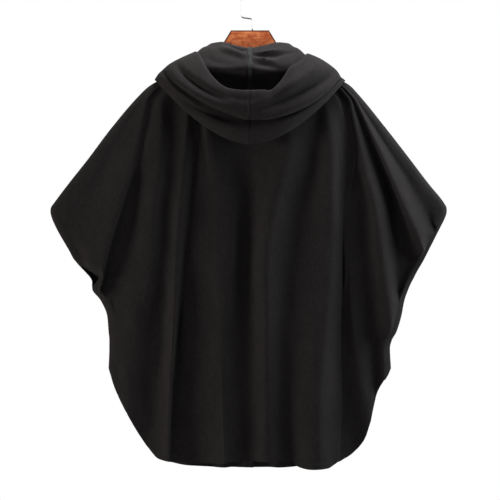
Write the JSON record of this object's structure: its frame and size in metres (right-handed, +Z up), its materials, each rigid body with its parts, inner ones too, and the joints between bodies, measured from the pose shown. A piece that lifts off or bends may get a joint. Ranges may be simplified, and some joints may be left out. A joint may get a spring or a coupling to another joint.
{
  "type": "wool cloak on a hanger",
  "caption": "Black hooded wool cloak with batwing sides, open cuffs and a curved shirt-tail hem, hung on a flat varnished wooden hanger with a thin wire hook.",
  "frame": {"origin": "the point inside the top of the hook where a rail bears", "axes": "+Z up, +Y the way the cloak's front faces, +X the wearer's right, so that a viewer on the -Y side sees the back with +X to the right"},
  "size_m": [0.8318, 0.167, 1.0112],
  "materials": {
    "wool": "black brushed wool coating, soft and dull, with a short nap",
    "binding": "charcoal woven seam binding",
    "varnished_wood": "orange-brown varnish",
    "wire": "bright plated steel wire"
  },
  "bodies": {
    "root": {"back_panel": "wool", "front_panel_left": "wool", "front_panel_right": "wool", "hood_left": "wool", "hood_right": "wool", "hood_seam_tape": "binding", "hanger_body": "varnished_wood", "hanger_hook": "wire"}
  },
  "joints": []
}
